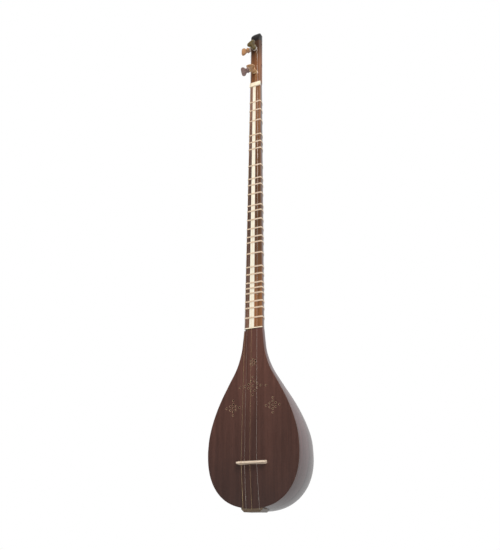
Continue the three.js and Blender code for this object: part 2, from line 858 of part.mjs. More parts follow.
courses.forEach((course, i) => {
  const { wireRadius, metal } = course;
  const group = pegGroups[i];
  const run = wireRun(course, group);
  const winding = tube(run.turns, wireRadius, wireSides, new THREE.Vector3(0, 0, 1));
  const string = tube(stringPoints(course, run), wireRadius, stringSides, new THREE.Vector3(1, 0, 0));
  addPiece(`peg_${i + 1}`, pegGeometry(course, run.hole), "peg", group);
  addPiece(`peg_winding_${i + 1}`, winding, metal, group);
  addPiece(`string_${i + 1}`, string, metal);
  const gap = leastTurnGap(run.turns, wireRadius, wireStepsPerTurn);
  console.log(`peg_winding_${i + 1}: least gap between turns ${gap.toFixed(2)} mm`);
});

// The bridge: an arched bar on two feet, thinner at its top

function bridgeGeometry() {
  const shoulder = bridgeHalfLength - bridgeEndRise;
  const foot = bridgeHalfLength - bridgeFootLength;
  const outline = new THREE.Shape();
  outline.moveTo(-bridgeHalfLength, 0);
  outline.lineTo(-bridgeHalfLength, -bridgeHeight / 2);
  outline.quadraticCurveTo(-bridgeHalfLength, -bridgeHeight, -shoulder, -bridgeHeight);
  outline.lineTo(shoulder, -bridgeHeight);
  outline.quadraticCurveTo(bridgeHalfLength, -bridgeHeight, bridgeHalfLength, -bridgeHeight / 2);
  outline.lineTo(bridgeHalfLength, 0);
  outline.lineTo(foot, 0);
  outline.quadraticCurveTo(0, -2 * bridgeArchHeight, -foot, 0);
  const bar = new THREE.ExtrudeGeometry(outline, {
    depth: bridgeFootThickness,
    bevelEnabled: false,
    curveSegments: 8,
  });
  bar.translate(0, 0, -bridgeFootThickness / 2);
  const places = bar.getAttribute("position");
  for (let i = 0; i < places.count; i++) {
    const up = -places.getY(i) / bridgeHeight;
    places.setZ(i, places.getZ(i) * (1 + (bridgeTopThickness / bridgeFootThickness - 1) * up));
  }
  return bar;
}

addPiece("bridge", bridgeGeometry(), "bone");

// The tailpiece: a block shaped to the bottom of the bowl, with a flat foot and a hole for each string

function tailpieceGeometry() {
  const top = -faceBelowBridge + cutOverrun;
  const outline = new THREE.Shape([
    new THREE.Vector2(-tailFootHalfWidth, -footBelowBridge),
    new THREE.Vector2(tailFootHalfWidth, -footBelowBridge),
    new THREE.Vector2(tailHalfWidth, -footBelowBridge + tailChamferRise),
    new THREE.Vector2(tailHalfWidth, top),
    new THREE.Vector2(-tailHalfWidth, top),
    new THREE.Vector2(-tailHalfWidth, -footBelowBridge + tailChamferRise),
  ]);
  const block = new THREE.ExtrudeGeometry(outline, { depth: tailDepth, bevelEnabled: false });
  const holes = courses.map(({ rests }) => {
    const length = tailHoleDepth + cutOverrun;
    const hole = new THREE.CylinderGeometry(tailHoleRadius, tailHoleRadius, length, holeSides);
    return solidOf(hole.translate(rests.tail, tailHoleDepth - length / 2, tailHoleAt));
  });
  const fitted = solidOf(layBehind(block, 0, tailDepth)).subtract(bowlSolid(-glueGap, cutOverrun));
  return geometryOf(holes.reduce((piece, hole) => piece.subtract(hole), fitted));
}

addPiece("tailpiece", tailpieceGeometry(), "tailpiece");

// The tied frets: three turns of gut round the neck, which cross the fingerboard side by side and climb
// to the next turn behind it

const gutStandOff = gutRadius + gutClearance;

// Points of one turn, with the share of the climb that each has made.
function gutTurn(z) {
  const { half, depth } = neckShape(z);
  const edge = half - sideChamfer + gutStandOff * Math.tan(Math.PI / 8);
  const side = half + gutStandOff;
  const sideFront = sideChamfer - gutStandOff * Math.tan(Math.PI / 8);
  const chordSag = half * (1 - Math.cos(Math.PI / (2 * gutBackSteps)));
  const grown = gutStandOff + chordSag;
  const back = backCurve(half + grown, depth + grown, sideChamfer, z, gutBackSteps);
  back[0].set(side, sideFront, z);
  back[gutBackSteps].set(-side, sideFront, z);
  const climbStart = gutBackSteps / 2;
  return [
    { point: new THREE.Vector3(-edge, -gutStandOff, z), climb: 0 },
    { point: new THREE.Vector3(edge, -gutStandOff, z), climb: 0 },
    ...back.map((point, i) => ({
      point,
      climb: Math.max((i - climbStart) / (gutBackSteps - climbStart), 0),
    })),
  ];
}

function fretPoints(cents) {
  const middle = fretHeight(cents);
  const turns = Array.from({ length: gutTurns }, (_, i) => {
    const z = middle + gutPitch * (i - (gutTurns - 1) / 2);
    return gutTurn(z).map(({ point, climb }) => point.setZ(z + gutPitch * climb));
  });
  const start = gutTurn(middle).at(-1).point.setZ(turns[0][0].z);
  return [start, ...turns.flat()];
}

fretCents.forEach((cents, i) => {
  const points = fretPoints(cents);
  const fret = tube(points, gutRadius, gutSides, new THREE.Vector3(0, 0, 1));
  addPiece(`fret_${String(i + 1).padStart(2, "0")}`, fret, "gut");
  const gap = leastTurnGap(points, gutRadius, points.length / gutTurns);
  if (i === 0) console.log(`frets: least gap between turns ${gap.toFixed(2)} mm`);
});

export default instrument;
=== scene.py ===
# %% [markdown]
# # A setar, dressed in Blender
# A setar is a long-necked Persian lute with four wire strings and gut frets tied round its neck.
# The CAD model already has every piece in its place. This lesson gives each piece its real form and
# finish: bent ribs, a drilled soundboard, turned pegs, wound wire, knotted gut, lacquer and bone.

import json
from collections import namedtuple
from functools import partial
from math import acos, atan2, copysign, cos, degrees, hypot, pi, radians, sin, sqrt, tan

import bmesh
import bpy
from bmesh import ops
from mathutils import Euler, Matrix, Vector

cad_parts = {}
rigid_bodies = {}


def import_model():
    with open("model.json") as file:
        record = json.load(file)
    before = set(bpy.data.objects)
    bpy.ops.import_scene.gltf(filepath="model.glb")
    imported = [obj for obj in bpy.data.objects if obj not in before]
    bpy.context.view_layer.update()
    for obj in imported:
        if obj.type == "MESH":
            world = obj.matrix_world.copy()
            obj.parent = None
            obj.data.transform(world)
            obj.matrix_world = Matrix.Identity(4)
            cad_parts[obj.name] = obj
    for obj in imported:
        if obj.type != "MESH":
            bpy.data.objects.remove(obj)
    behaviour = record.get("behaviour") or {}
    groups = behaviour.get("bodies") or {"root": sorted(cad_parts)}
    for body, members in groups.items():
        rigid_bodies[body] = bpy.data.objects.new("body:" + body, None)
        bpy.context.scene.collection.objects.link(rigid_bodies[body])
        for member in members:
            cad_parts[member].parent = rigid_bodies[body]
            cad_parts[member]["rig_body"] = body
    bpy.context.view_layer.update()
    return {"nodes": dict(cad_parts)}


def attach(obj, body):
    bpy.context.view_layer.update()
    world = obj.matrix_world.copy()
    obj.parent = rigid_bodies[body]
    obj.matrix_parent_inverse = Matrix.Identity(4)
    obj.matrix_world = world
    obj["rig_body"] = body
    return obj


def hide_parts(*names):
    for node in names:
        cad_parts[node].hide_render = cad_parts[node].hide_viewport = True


scene = bpy.context.scene
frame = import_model()

# %% [markdown]
# ## The camera
# A fitted camera comes first, because everything else is judged through it. The photograph was taken
# from the right and from a little below the bowl, with the lens tilted up. The place, angles and lens
# come from matching the nut, the bridge, the neck's foot and the frets, and the shift from the crop.

# %% The camera


def put_in_scene(name, data):
    """A new object in the scene, for a mesh, curve, lamp or camera."""
    made = bpy.data.objects.new(name, data)
    scene.collection.objects.link(made)
    return made


def put_shape(name, bm):
    """A new object in the scene with the shape of a bmesh, which is used up."""
    mesh = bpy.data.meshes.new(name)
    bm.to_mesh(mesh)
    bm.free()
    return put_in_scene(name, mesh)


camera_place = Vector((0.4414, -0.8930, -0.0333))
camera_pan, camera_tilt, camera_roll = 25.968, 21.906, 0.188
camera_data = bpy.data.cameras.new("photo_camera")
camera_data.lens = 43.16
camera_data.shift_x = -0.0191
camera_data.shift_y = -0.0044
camera_data.clip_start = 0.01
camera = put_in_scene("photo_camera", camera_data)
aimed = Euler((radians(90 + camera_tilt), 0, radians(camera_pan))).to_matrix()
camera_axes = aimed @ Matrix.Rotation(radians(camera_roll), 3, "Z")
camera.matrix_world = Matrix.Translation(camera_place) @ camera_axes.to_4x4()
scene.camera = camera
scene.view_settings.view_transform = "Standard"
print("camera right:", [round(value, 4) for value in camera_axes.col[0]])

# %% [markdown]
# ## Floor, background and light
# The instrument is shown on plain white, so the floor and the sky are white only to the rays that come
# straight from the camera and to the ones that mirror in lacquer and wire. A plain grey sky and one
# large soft lamp light the object. The lamp is high on the right, well in front and far off, so that
# the head and the bowl are lit alike, and where no flat face mirrors it into the camera. The floor lies
# below the instrument's foot, because the camera stands lower than the foot.

# %% The floor
floor_half_width, floor_drop = 3, 0.06
floor_bm = bmesh.new()
ops.create_grid(floor_bm, x_segments=1, y_segments=1, size=floor_half_width)
ops.translate(floor_bm, vec=(0, 0, -floor_drop), verts=floor_bm.verts)
studio_floor = put_shape("studio_floor", floor_bm)
print("floor:", studio_floor.dimensions[:2])

# %% Colours and nodes


def linear(colour):
    """An sRGB hex colour as Blender's linear red, green, blue and alpha."""
    shares = [int(colour[i : i + 2], 16) / 255 for i in (1, 3, 5)]
    return [s / 12.92 if s <= 0.04045 else ((s + 0.055) / 1.055) ** 2.4 for s in shares] + [1]


def add_node(tree, kind, inputs=(), **settings):
    """Adds a node. Its inputs go by name or in order. Each is a value, an output or a whole node."""
    made = tree.nodes.new("ShaderNode" + kind)
    for name, value in settings.items():
        setattr(made, name, value)
    for name, value in inputs.items() if isinstance(inputs, dict) else enumerate(inputs):
        source = value.outputs[0] if isinstance(value, bpy.types.Node) else value
        if isinstance(source, bpy.types.NodeSocket):
            tree.links.new(source, made.inputs[name])
        else:
            made.inputs[name].default_value = source
    return made


def new_finish(name):
    """An empty material, and a function that adds nodes to it."""
    finish = bpy.data.materials.new(name)
    finish.use_nodes = True
    finish.node_tree.nodes.clear()
    return finish, partial(add_node, finish.node_tree)


# A Mix node's numbers are its inputs 2 and 3, and its colours 6 and 7. A MapRange node takes a value,
# the two ends of its range, and what these two become.
print("white is", linear("#ffffff"))

# %% The floor's and the sky's materials


def seen_rays(add):
    """1 for rays straight from the camera, and 1 for rays that were mirrored or bent."""
    kinds = add("LightPath").outputs
    mirrored = [kinds["Is Glossy Ray"], kinds["Is Transmission Ray"]]
    return kinds["Is Camera Ray"], add("Math", mirrored, operation="MAXIMUM")


def floor_finish():
    """Matt white paper that glows plain white to the eye and still takes the object's shadow."""
    finish, add = new_finish("white_paper_floor")
    seen = add("Math", seen_rays(add), operation="MAXIMUM")
    paper = add("BsdfDiffuse", {"Color": linear("#d8d8d8")})
    glow = add("Emission", {"Color": linear("#ffffff"), "Strength": 1.0})
    add("OutputMaterial", [add("MixShader", [seen, paper, glow])])
    return finish


studio_floor.data.materials.append(floor_finish())

world = bpy.data.worlds.new("studio_sky")
scene.world = world
world.use_nodes = True
world.node_tree.nodes.clear()
add_sky = partial(add_node, world.node_tree)
sky_light, sky_white = 0.66, 1.0
# What lacquer mirrors: white paper behind the object, and a dim room in front of it.
room_white, room_end, paper_start = 0.07, -0.3, 0.5
sky_way = add_sky("SeparateXYZ", [add_sky("TexCoord").outputs["Generated"]])
room = add_sky("MapRange", [sky_way.outputs["Y"], room_end, paper_start, room_white, sky_white])
to_camera, to_mirror = seen_rays(add_sky)
lit_or_mirrored = add_sky("Mix", {0: to_mirror, 2: sky_light, 3: room}, data_type="FLOAT")
sky_strength = add_sky("Mix", {0: to_camera, 2: lit_or_mirrored, 3: sky_white}, data_type="FLOAT")
add_sky("OutputWorld", [add_sky("Background", [linear("#ffffff"), sky_strength])])
print("sky nodes:", len(world.node_tree.nodes))

# %% The soft lamp
lamp_data = bpy.data.lights.new("soft_window", "AREA")
lamp_data.shape = "SQUARE"
lamp_data.size = 1.1
lamp_data.energy = 54
lamp = put_in_scene("soft_window", lamp_data)
lamp_place, lamp_target = Vector((1.26, -1.74, 2.2)), Vector((0, 0, 0.4))
lamp_way = (lamp_target - lamp_place).to_track_quat("-Z", "Y")
lamp.matrix_world = Matrix.Translation(lamp_place) @ lamp_way.to_matrix().to_4x4()
print("lamp:", lamp_data.energy, "W")

# %% [markdown]
# ## Sizes
# Blender works in metres, and an instrument maker in millimetres. The sizes below are the CAD model's
# own, measured from the point where the strings cross the bridge, on the face of the soundboard. One
# function turns such a point into the frame that all the pieces share.

# %% Sizes of the instrument, in millimetres
MM = 0.001
string_length = 660
face_forward, foot_below_bridge = 12, 67.5
face_below_bridge = 62.5
bowl_half_width, bowl_depth = 74.2, 148
widest_up, deepest_up = 18.5, 12
board_thickness = 3
neck_half_at_nut, neck_half_at_bowl = 10.4, 15.4
neck_depth_at_nut, neck_depth_at_bowl = 19, 23
strip_thickness = 1.5
nut_length, nut_height = 9.5, 1.8
head_start = string_length + nut_length
head_half, head_depth, head_chamfer = 10.4, 19, 3
top_peg_up, head_above_top_peg, cap_length = 94, 33, 23
head_top = string_length + top_peg_up + head_above_top_peg
cap_start = head_top - cap_length
last_fret_cents, bowl_below_last_fret = 1902, 18
bowl_top = string_length * 2 ** (-last_fret_cents / 1200) - bowl_below_last_fret


def at(x, y, z):
    """A point of the drawing, in millimetres, as a place in the shared frame, in metres."""
    return Vector((x, y - face_forward, z + foot_below_bridge)) * MM


print(f"the neck meets the bowl {bowl_top:.1f} mm above the bridge")

# %% [markdown]
# ## Bending a flat grid
# Ribs, neck, head and pegs are all long shapes whose section changes along them. A Blender grid is a
# flat net of squares, and moving its corners bends it into such a shape. Its squares stay even, so that
# light runs smoothly over the surface. A grid whose two long sides meet is a tube, whose ends are then
# filled.

# %% A helper that bends a grid


def bent_grid(across, along, place, grain=None, closed=False):
    """A grid whose corner at shares u and v of its two ways lies at place(u, v)."""
    bm = bmesh.new()
    ops.create_grid(bm, x_segments=across, y_segments=along, size=0.5)
    shares = {corner: (corner.co.x + 0.5, corner.co.y + 0.5) for corner in bm.verts}
    if grain:
        layer = bm.loops.layers.uv.new("grain")
        for face in bm.faces:
            for loop in face.loops:
                loop[layer].uv = grain(*shares[loop.vert])
    for corner, (u, v) in shares.items():
        corner.co = place(u, v)
    if closed:
        ops.remove_doubles(bm, verts=bm.verts, dist=0.01 * MM)
        ops.holes_fill(bm, edges=[edge for edge in bm.edges if edge.is_boundary])
        ops.recalc_face_normals(bm, faces=bm.faces)
    return bm


print("grid helper ready")

# %% Helpers that ease edges and finish a piece


def ease_edges(bm, edges, width, segments=2):
    """Rounds some edges, width millimetres to each side."""
    ops.bevel(
        bm, geom=edges, offset=width * MM, segments=segments, profile=0.5, affect="EDGES",
        clamp_overlap=True, material=-1,
    )


def round_edges(bm, width, over, segments=2):
    """Takes the sharpness off every edge that turns by more than so many degrees."""
    sharp = [edge for edge in bm.edges if edge.is_manifold and edge.calc_face_angle(0) > radians(over)]
    ease_edges(bm, sharp, width, segments)


def whole_faces(bm, apart, flat_within):
    """Merges corners that lie so close, and faces that turn by less than so many degrees."""
    ops.remove_doubles(bm, verts=bm.verts, dist=apart * MM)
    ops.dissolve_limit(bm, angle_limit=radians(flat_within), verts=bm.verts, edges=bm.edges)


def second_side(bm, faces):
    """Extrudes some faces on the spot, and gives the new side's corners, to be moved."""
    drawn = ops.extrude_face_region(bm, geom=faces)["geom"]
    return [item for item in drawn if isinstance(item, bmesh.types.BMVert)]


crease_over = 32


def add_piece(name, bm, finish, stands_for):
    """Makes a finished piece of a bmesh. It stands for a CAD node, and moves with that node's body."""
    piece = put_shape(name, bm)
    piece.data.shade_smooth()
    piece.data.set_sharp_from_angle(angle=radians(crease_over))
    piece.data.materials.append(finish)
    even = piece.modifiers.new("large_faces_stay_flat", "WEIGHTED_NORMAL")
    even.keep_sharp = True
    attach(piece, frame["nodes"][stands_for]["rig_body"])
    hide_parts(stands_for)
    print(name, "has", len(piece.data.polygons), "faces")
    return piece


# %% [markdown]
# ## Wood
# All the woods here share one build: growth rings seen as long bands, fibres as fine streaks, short
# dark pores, and clouds of colour that a hand-wiped stain leaves. Each is a noise pattern that is
# squeezed across the grain and stretched along it. A woodworker's sizes set the scales: bands 2 to 6 mm
# wide, fibres about half a millimetre, and pores a third of a millimetre wide and 5 mm long. Lacquer is
# a clear coat over the wood, and its gloss tells a sprayed bowl from a hand-rubbed face.

# %% A function for wood


def streaks(add, where, along, width, length, detail=3.0, wander=0.0):
    """A pattern of streaks of a size in millimetres, across one axis and along it."""
    squeeze = [1 / (width * MM)] * 3
    squeeze[along] = 1 / (length * MM)
    squeezed = add("Mapping", {"Vector": where, "Scale": squeeze})
    pattern = {"Vector": squeezed, "Scale": 1.0, "Detail": detail, "Distortion": wander}
    return add("TexNoise", pattern)


def wood(
    name, pale, dark, band=3.0, along=2, pore=0.35, rough=0.42, coat=0.3, coat_rough=0.2, uv=False, painted_light_by_height=()
):
    """Wood with its grain along one axis. Sizes are in millimetres, and band is a growth ring's width.

    painted_light_by_height lists heights above the bridge, each with the light or shade painted there.
    """
    finish, add = new_finish(name)
    places = add("TexCoord").outputs
    grain = add, places["UV" if uv else "Object"], along
    fibres = streaks(*grain, 0.55, 22)
    rings = add("MapRange", [streaks(*grain, band, band * 40, 2.0, 0.25), 0.36, 0.64, 0, 1])
    stain = {0: rings, 6: linear(pale), 7: linear(dark)}
    stained = add("Mix", stain, data_type="RGBA").outputs[2]
    pores = add("MapRange", [streaks(*grain, pore, 5, 1.0), 0.64, 0.72, 1.0, 0.6])
    clouds = add("MapRange", [streaks(*grain, 34, 90, 2.0, 0.4), 0.3, 0.7, 0.9, 1.1])
    depth = add("MapRange", [fibres, 0.35, 0.65, 0.88, 1.12])
    tones = [clouds, pores]
    if painted_light_by_height:
        # Painted light and shade: the tone grows lighter or darker slowly from one height to the next.
        height = add("SeparateXYZ", [places["Object"]]).outputs["Z"]
        start = painted_light_by_height[0][1]
        for (low, at_low), (high, at_high) in zip(painted_light_by_height, painted_light_by_height[1:]):
            change = [height, at(0, 0, low).z, at(0, 0, high).z, start, start * at_high / at_low]
            tones.append(add("MapRange", change))
            start = 1
    for tone in tones:
        depth = add("Math", [depth, tone], operation="MULTIPLY")
    looks = {
        "Base Color": add("VectorMath", {0: stained, "Scale": depth}, operation="SCALE"),
        "Roughness": add("MapRange", [fibres, 0.3, 0.7, rough - 0.05, rough + 0.07]),
        "IOR": 1.5,
        "Coat Weight": coat,
        "Coat Roughness": coat_rough,
        "Normal": add("Bump", {"Height": pores, "Strength": 0.5, "Distance": 0.05 * MM}),
    }
    add("OutputMaterial", [add("BsdfPrincipled", looks)])
    return finish


print("wood ready")

# %% The instrument's woods
# Mulberry is the wood of the bowl and the face. Stain and years turn it a deep red brown, and the face
# is painted paler towards the neck and darker towards the tail: painted light, falling from above.
face_mulberry = wood(
    "stained_mulberry_satin_lacquer", "#4e3027", "#432820", 6.0, rough=0.38, coat=0.1, coat_rough=0.25,
    painted_light_by_height=[(-62, 0.66), (200, 1.9)],
)
# Neighbouring ribs come from different boards, so every other one is a little deeper in tone.
# The ribs are painted darker towards the tail end: painted shade under the bowl.
rib_finish = {"rough": 0.36, "coat": 0.18, "coat_rough": 0.16, "uv": True, "painted_light_by_height": [(-62, 0.4), (50, 1.0)]}
rib_mulberry = [
    wood("stained_mulberry_warm_rib", "#5d3637", "#482a2b", 5.2, along=1, **rib_finish),
    wood("stained_mulberry_deep_rib", "#4d2b2d", "#3c2223", 5.2, along=1, **rib_finish),
]
# Walnut necks are carved from straight stock, and hands rub them smooth.
neck_walnut = wood("oiled_walnut_neck", "#5e3a28", "#3a2218", rough=0.36, coat=0.4, coat_rough=0.18)
# The head is painted darker towards its top, next to the cap: painted shade.
head_walnut = wood(
    "oiled_walnut_head", "#8b5429", "#70411e", 3.2, rough=0.5, coat=0.1, painted_light_by_height=[(712, 1.0), (750, 0.3)]
)
strip_finish = {"coat": 0.15, "coat_rough": 0.22}
# Both strips are painted paler towards the bowl and the nut and darker between: painted light and sheen.
dark_strip_painted_light = [(215, 1.7), (260, 1.25), (350, 0.72), (480, 0.72), (600, 1.9)]
warm_strip_painted_light = [(215, 2.0), (300, 1.3), (350, 0.85), (430, 0.75), (555, 1.25), (600, 1.7)]
dark_strip = wood("dark_walnut_strip", "#6d4c3c", "#53392c", painted_light_by_height=dark_strip_painted_light, **strip_finish)
warm_strip = wood("warm_walnut_strip", "#724927", "#5b391d", painted_light_by_height=warm_strip_painted_light, **strip_finish)
ebony = wood("polished_ebony", "#1f1615", "#140d0c", 2.0, pore=0.3, rough=0.46, coat=0.05)
# Peg wood is turned along its grain, and a lathe leaves it smooth and bright.
lathe_finish = {"band": 2.6, "pore": 0.3, "rough": 0.36, "coat": 0.4, "coat_rough": 0.12}
# The first peg is the second peg's wood in its darker shade tone: painted shade.
peg_wood_painted_shade = wood("turned_peg_wood_painted_shade", "#6c5827", "#4d3e18", along=1, **lathe_finish)
tan_peg = wood("turned_walnut_peg", "#bf8d60", "#9e7349", along=1, **lathe_finish)
pale_peg = wood("turned_boxwood_peg", "#bb8a60", "#9d7048", along=0, **lathe_finish)
plum_peg = wood("turned_plum_peg", "#8c7068", "#6f5752", along=0, **lathe_finish)
tail_wood = wood("filed_walnut_tailpiece", "#62513f", "#483a2d", 2.8, along=0, coat=0.2)
# Wood inside the bowl and the holes has no lacquer.
bare = {"coat": 0.0, "coat_rough": 0.5}
raw_block = wood("raw_poplar_block", "#b8956a", "#94714a", 4.0, rough=0.7, **bare)
burnt_edge = wood("scorched_hole_wall", "#2a1913", "#160c08", 1.5, rough=0.75, **bare)
# The countersunk rims of the holes are given a pale tone.
pale_rim = wood("pale_countersunk_rim", "#b8967a", "#94745a", 1.5, rough=0.6, **bare)
print("woods:", len(bpy.data.materials))

# %% [markdown]
# ## Bone, gut and wire
# Bone is pale and dense, with faint straight streaks where its vessels ran. Gut is twisted and dried,
# so it is cream, with slow changes of tone along each strand. Music wire is drawn through a die, which
# leaves it bright. Wire this thin shows only a slow change of tarnish, drawn coarser than life.

# %% Materials of bone, gut and wire


def dense(name, pale, dark, size, rough, relief, metallic=0.0, coat=0.0, along=2):
    """Bone, gut or metal: two tones that change over streaks of a size in millimetres, across and along."""
    finish, add = new_finish(name)
    streak = streaks(add, add("TexCoord").outputs["Object"], along, *size)
    share = add("MapRange", [streak, 0.35, 0.68])
    stain = {0: share, 6: linear(pale), 7: linear(dark)}
    looks = {
        "Base Color": add("Mix", stain, data_type="RGBA").outputs[2],
        "Roughness": add("MapRange", [streak, 0.3, 0.7, rough - 0.05, rough + 0.1]),
        "Metallic": metallic,
        "Normal": add("Bump", {"Height": streak, "Strength": 0.4, "Distance": relief * MM}),
    }
    if coat:
        looks |= {"Coat Weight": coat, "Coat Roughness": 0.15}
    add("OutputMaterial", [add("BsdfPrincipled", looks)])
    return finish


# Bone is filed and then rubbed with chalk, so it has a low gloss. The nut and the joint line are the
# whitest, and the bridge is older bone.
bone = dense("polished_camel_bone", "#fbf6e6", "#eee3c8", (0.5, 9), 0.34, 0.02, coat=0.15)
cross_bone = dense("filed_bone_nut", "#fdf1da", "#efdab6", (0.5, 6), 0.34, 0.02, coat=0.15, along=0)
bridge_bone = dense("aged_bone_bridge", "#eddac4", "#d8c0a6", (0.6, 5), 0.36, 0.02, coat=0.15, along=0)
gut = dense("dried_gut", "#f0dcc4", "#dcc1a2", (0.8, 1.6), 0.42, 0.03)
steel_wire = dense("drawn_steel_music_wire", "#f2eae2", "#dcd4cc", (1.5, 12), 0.42, 0.004, metallic=1.0)
brass_wire = dense("drawn_brass_music_wire", "#ecd5ac", "#d2b381", (1.5, 12), 0.42, 0.004, metallic=1.0)
print("materials:", len(bpy.data.materials))

# %% [markdown]
# ## The bowl's outline
# The maker bends the ribs over a mould, so one pair of curves gives the whole bowl: its half width and
# its depth at each height, with a full rounded end below and an S up to the neck. The CAD model draws
# both as a smooth curve through a few measured shares, and so does this lesson.

# %% Curves of the bowl


def smooth_curve(stops, values):
    """A smooth curve through values at stops, with straight ends."""

    def value_at(t):
        t = min(max(t, stops[0]), stops[-1])
        i = next(k for k in range(1, len(stops)) if t <= stops[k])
        t0, t1, v0, v1 = stops[i - 1], stops[i], values[i - 1], values[i]
        before, v_before = (stops[i - 2], values[i - 2]) if i > 1 else (t1, v1)
        after, v_after = (stops[i + 1], values[i + 1]) if i + 1 < len(stops) else (t0, v0)
        half, p = (t1 - t0) / 2, (t - t0) / (t1 - t0)
        rise_before, rise_after = (v0 - v_before) / (t0 - before), (v_after - v1) / (after - t1)
        straight = v0 + (v1 - v0) * p * (0.5 + 1.5 * p - p * p)
        return straight + half * p * (1 - p) * (rise_before * (1 - p) - rise_after * p)

    return value_at


width_share = smooth_curve(
    [0, 0.09, 0.16, 0.28, 0.4, 0.53, 0.66, 0.79, 0.9, 1],
    [1, 0.978, 0.936, 0.82, 0.657, 0.434, 0.208, 0.078, 0.03, 0],
)
depth_share = smooth_curve([0, 0.18, 0.38, 0.58, 0.78, 1], [1, 0.95, 0.7, 0.325, 0.06, 0])
outline_power, depth_power = 2.35, 2.4
tail_bulge = 6


def half_width(z):
    """Half the bowl's width at a height above the bridge."""
    if z > widest_up:
        share = width_share((z - widest_up) / (bowl_top - widest_up))
        return neck_half_at_bowl + (bowl_half_width - neck_half_at_bowl) * share
    down = (widest_up - z) / (widest_up + face_below_bridge)
    return bowl_half_width * max(1 - down**outline_power, 0) ** (1 / outline_power)


def depth_behind(z):
    """The bowl's depth behind the soundboard at a height above the bridge."""
    at_neck = neck_depth_at_bowl - board_thickness
    if z > deepest_up:
        return at_neck + (bowl_depth - at_neck) * depth_share((z - deepest_up) / (bowl_top - deepest_up))
    down = (deepest_up - z) / (deepest_up + face_below_bridge)
    return bowl_depth * max(1 - down**depth_power, 0) ** (1 / depth_power)


def station_height(station):
    """Stations run from 0 at the neck to 1 at the widest place, and on to 2 at the lowest point."""
    if station <= 1:
        return bowl_top + (widest_up - bowl_top) * station
    down = sin((station - 1) * pi / 2) ** (2 / outline_power)
    return widest_up - (widest_up + face_below_bridge) * down


def skin_point(station, angle):
    """A point of the bowl's outer skin, in millimetres of the drawing. The tail end bulges down a little."""
    z = station_height(station)
    behind = depth_behind(z) * sin(angle)
    down = max((deepest_up - z) / (deepest_up + face_below_bridge), 0)
    bulge = tail_bulge * sin(pi * behind / bowl_depth) * down * down
    return Vector((half_width(z) * cos(angle), board_thickness + behind, z - bulge))


print(f"bowl half width {half_width(widest_up):.1f} mm, depth {depth_behind(deepest_up):.1f} mm")

# %% [markdown]
# ## The ribs
# Nine thin staves are bent over the mould and glued edge to edge. Each is a flat grid bent onto the
# bowl's skin between two seams, then given its thickness inwards, and its edges are eased so that the
# glue lines catch the light. The grid keeps a map in metres across and along the stave, so that the
# grain follows each rib round the bowl.

# %% Seams between the ribs
rib_count, rib_thickness, glue_line = 9, 3.0, 0.08
fine_steps = 360


def lengths_along(points):
    """How far along a path each of its points lies."""
    lengths = [0.0]
    for here, there in zip(points, points[1:]):
        lengths.append(lengths[-1] + (there - here).length)
    return lengths


run = lengths_along([skin_point(1, pi * i / fine_steps) for i in range(fine_steps + 1)])


def seam_angle(rib):
    """The angle of a seam, so that the ribs are equally wide at the bowl's widest section."""
    wanted = run[-1] * rib / rib_count
    i = next((k for k in range(1, fine_steps + 1) if run[k] >= wanted), fine_steps)
    back = (run[i] - wanted) / (run[i] - run[i - 1])
    return pi * (i - back) / fine_steps if rib else 0.0


seams = [seam_angle(rib) for rib in range(rib_count + 1)]
print("seams, degrees:", [round(degrees(angle), 1) for angle in seams])

# %% Bend the ribs
rib_end_station = 1.965
rib_across, rib_along = 8, 110
bowl_middle = at(0, 40, 40)
# The ribs' maps lie so far apart that no two share a stretch of grain.
map_step = 0.3


def bend_rib(rib):
    """One stave of the bowl, between two seams."""
    middle = (seams[rib] + seams[rib + 1]) / 2
    spine = [skin_point(rib_end_station * k / rib_along, middle) for k in range(rib_along + 1)]
    lengths = lengths_along(spine)

    def edge_angles(station):
        width = (skin_point(station, seams[rib + 1]) - skin_point(station, seams[rib])).length
        held_back = (seams[rib + 1] - seams[rib]) * glue_line / 2 / max(width, 0.5)
        return seams[rib] + held_back, seams[rib + 1] - held_back, width

    def place(u, v):
        start, end, _ = edge_angles(v * rib_end_station)
        return at(*skin_point(v * rib_end_station, start + (end - start) * u))

    def grain(u, v):
        width = edge_angles(v * rib_end_station)[2]
        return map_step * rib + (u - 0.5) * width * MM, lengths[round(v * rib_along)] * MM

    bm = bent_grid(rib_across, rib_along, place, grain)
    ops.recalc_face_normals(bm, faces=bm.faces)
    if sum(face.normal.dot(face.calc_center_median() - bowl_middle) for face in bm.faces) < 0:
        ops.reverse_faces(bm, faces=bm.faces)
    ops.solidify(bm, geom=bm.faces, thickness=rib_thickness * MM)
    round_edges(bm, 0.22, over=50)
    add_piece(f"rib_{rib + 1}_bent", bm, rib_mulberry[rib % 2], f"bowl_rib_{rib + 1}")


for rib in range(rib_count):
    bend_rib(rib)

# %% [markdown]
# ## The soundboard
# The face is one thin sheet, and its voice comes out through little flowers of drilled holes. Its
# outline is the bowl's own half width on both sides. A filled outline with circles inside it becomes a
# sheet with holes in one step, and an extrusion gives it its thickness. The hot needle that cleans
# each hole scorches its wall, and each countersunk rim is made pale, so the walls and the rims have a
# material each.

# %% Places of the soundholes
# Each flower: how far across and down from the neck it lies, its ring, its petals and its outer tips
flowers = [(0, 54, 4.4, 6, 0), (0, 90.5, 7.8, 8, 13.5), (33, 121.5, 5.6, 6, 11), (-33, 121.5, 5.6, 6, 11)]
tip_count = 4
hole_radius = 1.15
single_across, single_down = 22, 91.5
hole_centres = [(side * single_across, bowl_top - single_down) for side in (1, -1)]


def hole_ring(x, z, radius, count, start):
    """Centres of holes at even steps round a middle."""
    turns = [2 * pi * (k + start) / count for k in range(count)]
    return [(x + radius * cos(turn), z - radius * sin(turn)) for turn in turns]


for across, down, ring, petals, reach in flowers:
    z = bowl_top - down
    hole_centres += [(across, z), *hole_ring(across, z, ring, petals, 0.5)]
    hole_centres += hole_ring(across, z, reach, tip_count, 0) if reach else []
print("holes:", len(hole_centres))

# %% Cut and drill the soundboard
outline_steps, hole_steps = 120, 20
countersink, outline_ease = 0.45, 0.3


